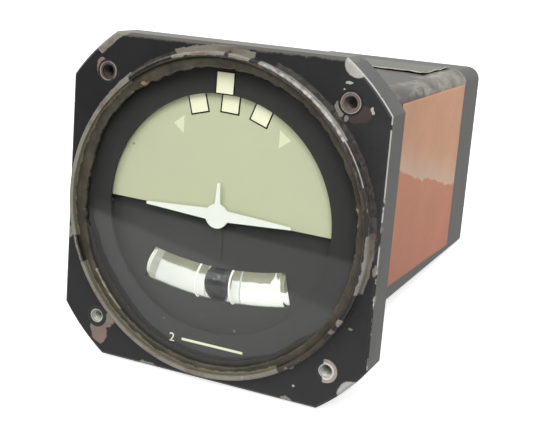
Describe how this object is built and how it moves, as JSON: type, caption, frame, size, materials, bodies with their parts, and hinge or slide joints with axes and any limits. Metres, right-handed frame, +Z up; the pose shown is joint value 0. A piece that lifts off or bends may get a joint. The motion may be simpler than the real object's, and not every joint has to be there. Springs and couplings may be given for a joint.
{
  "type": "aircraft turn coordinator",
  "caption": "Panel instrument: square flange with a round glass, pale rolling half disc, curved ball tube, long rectangular can with a rear connector, and a canted gyro inside.",
  "frame": {"origin": "centre of the four panel bolts, in the flange's front face", "axes": "+X to the right of someone who reads the dial, +Y into the panel towards the rear connector, +Z up on the dial"},
  "size_m": [0.0826, 0.1518, 0.0826],
  "materials": {
    "black_paint": "worn satin black enamel on die-cast aluminium",
    "steel": "machined steel",
    "dark_ring": "rusty spring steel",
    "glass": "clear flat glass",
    "rubber": "soft black rubber",
    "dial_black": "matt black paint on aluminium sheet",
    "pale_green": "matt pale green paint on thin aluminium",
    "off_white": "matt off-white paint on sheet",
    "tube_glass": "bent glass tube filled with liquid",
    "ball_black": "polished black ball",
    "white_card": "matt white card",
    "can_grey": "dark grey paint on drawn aluminium",
    "aluminium": "machined aluminium",
    "brass": "turned brass",
    "copper": "copper",
    "carbon": "carbon brush",
    "magnet": "sintered magnet alloy",
    "insulator": "brown laminated board",
    "insert_plastic": "dark green moulded insulator",
    "spring_bronze": "phosphor bronze strip"
  },
  "bodies": {
    "case": {"flange_housing": "black_paint", "threaded_inserts": "steel", "snap_ring": "dark_ring", "cover_glass": "glass", "glass_gasket": "rubber", "dial_mask": "dial_black", "aeroplane_symbol": "off_white", "symbol_bracket": "dial_black", "dial_plate": "dial_black", "inclinometer_tube": "tube_glass", "inclinometer_card": "white_card", "inclinometer_caps": "rubber", "inclinometer_bracket": "aluminium", "dial_screws": "steel", "dial_spacers": "aluminium", "case_body": "can_grey", "rear_cover": "can_grey", "front_plate": "aluminium", "rear_plate": "aluminium", "frame_pillars": "steel", "cover_posts": "steel", "dial_bushes": "brass", "stop_pins": "steel", "pivot_bushes": "brass", "hairspring": "spring_bronze", "spring_stud": "steel", "damper_cup": "aluminium", "terminal_board": "insulator", "power_leads": "copper", "connector_shell": "aluminium", "connector_insert": "insert_plastic", "connector_contacts": "brass", "connector_screws": "steel", "case_screws": "steel", "cover_screws": "steel"},
    "roll_disc": {"half_disc": "pale_green", "disc_hub": "brass", "disc_shaft": "steel", "disc_fork": "brass", "counterweight": "brass"},
    "gimbal": {"gimbal_frame": "aluminium", "pivot_pins": "steel", "drive_arm": "steel", "rotor_bearings": "steel", "magnet_carrier": "aluminium", "field_magnet": "magnet", "brush_holder": "insulator", "brushes": "carbon", "spring_collet": "brass", "damper_drum": "aluminium"},
    "rotor": {"rotor_wheel": "brass", "rotor_winding": "copper", "rotor_shaft": "steel", "commutator": "copper"},
    "ball": {"ball": "ball_black"}
  },
  "joints": [
    {"name": "gimbal_tilt", "type": "hinge", "parent": "case", "child": "gimbal", "pos_m": [0, 0.075, 0], "axis": [0, 0.866, -0.5], "range_deg": [-8.3, 8.3], "stiffness_Nm_per_rad": 0.1},
    {"name": "dial_turn", "type": "hinge", "parent": "case", "child": "roll_disc", "pos_m": [0, 0.02, 0], "axis": [0, 1, 0], "range_deg": [-25, 25]},
    {"name": "rotor_spin", "type": "hinge", "parent": "gimbal", "child": "rotor", "pos_m": [0, 0.075, 0], "axis": [1, 0, 0], "continuous": true},
    {"name": "ball_roll", "type": "hinge", "parent": "case", "child": "ball", "pos_m": [0, 0.007, 0.0624], "axis": [0, 1, 0], "range_deg": [-9.8, 9.8]}
  ],
  "couplings": [
    {"joint": "dial_turn", "follows": "gimbal_tilt", "ratio": 3}
  ]
}
